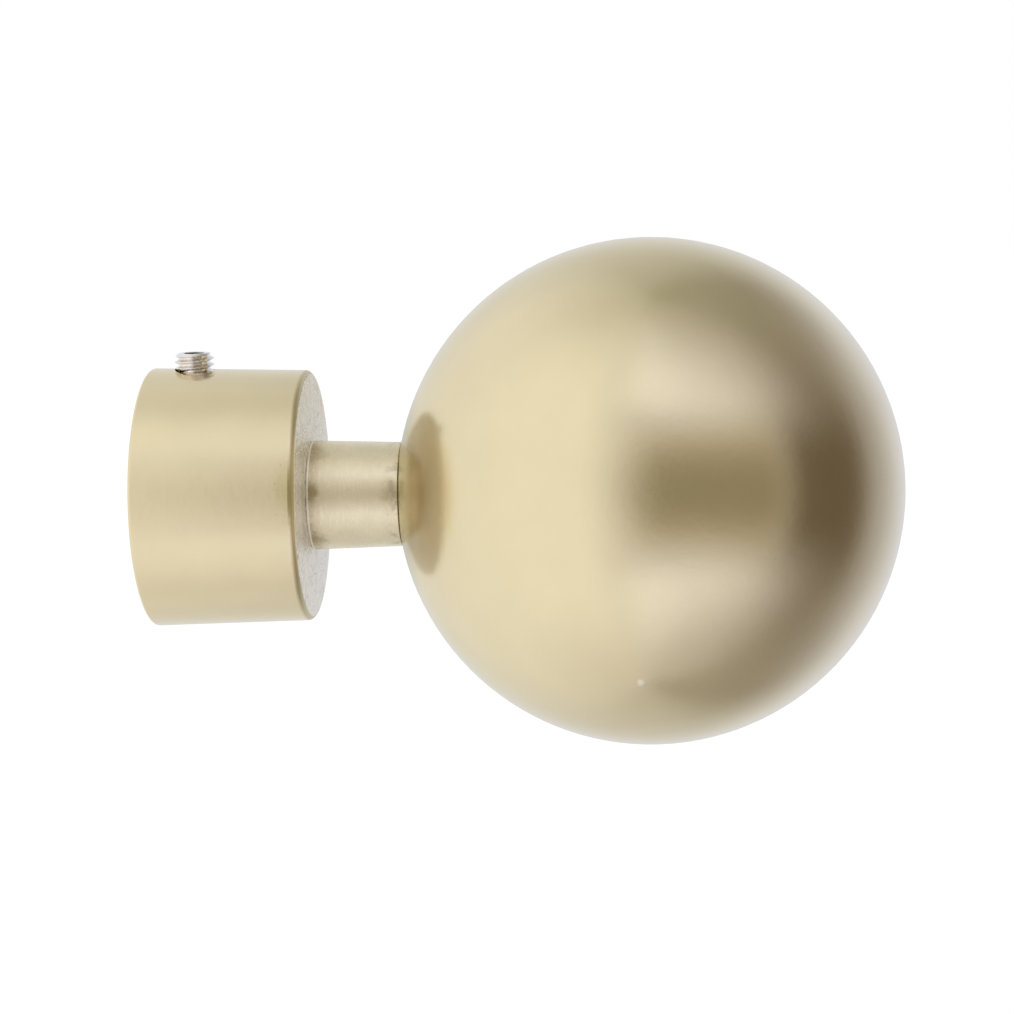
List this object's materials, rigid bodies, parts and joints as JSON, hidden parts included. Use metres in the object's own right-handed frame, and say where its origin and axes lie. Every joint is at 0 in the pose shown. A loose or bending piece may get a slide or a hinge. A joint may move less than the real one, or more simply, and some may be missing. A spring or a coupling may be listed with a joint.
{
  "type": "curtain pole finial",
  "caption": "Ball finial for a round curtain pole: a cup-shaped end cap with a grub screw, a short turned neck and a hollow ball, in satin pale gold.",
  "frame": {"origin": "centre of the pole socket's mouth, on the axis", "axes": "+X along the pole's axis towards the ball, +Z towards the side with the grub screw"},
  "size_m": [0.0943, 0.0634, 0.0634],
  "materials": {
    "satin_gold": "satin pale gold plating",
    "plain_steel": "plain turned",
    "nickel_plate": "bright nickel plating"
  },
  "bodies": {
    "finial": {"end_cap": "satin_gold", "neck": "satin_gold", "ball": "satin_gold", "ball_bush": "plain_steel", "fixing_screw": "nickel_plate"},
    "grub": {"grub_screw": "nickel_plate"}
  },
  "joints": [
    {"name": "grub_screw_travel", "type": "slide", "parent": "finial", "child": "grub", "axis": [0, 0, -1], "range_m": [-0.001, 0.002]}
  ]
}
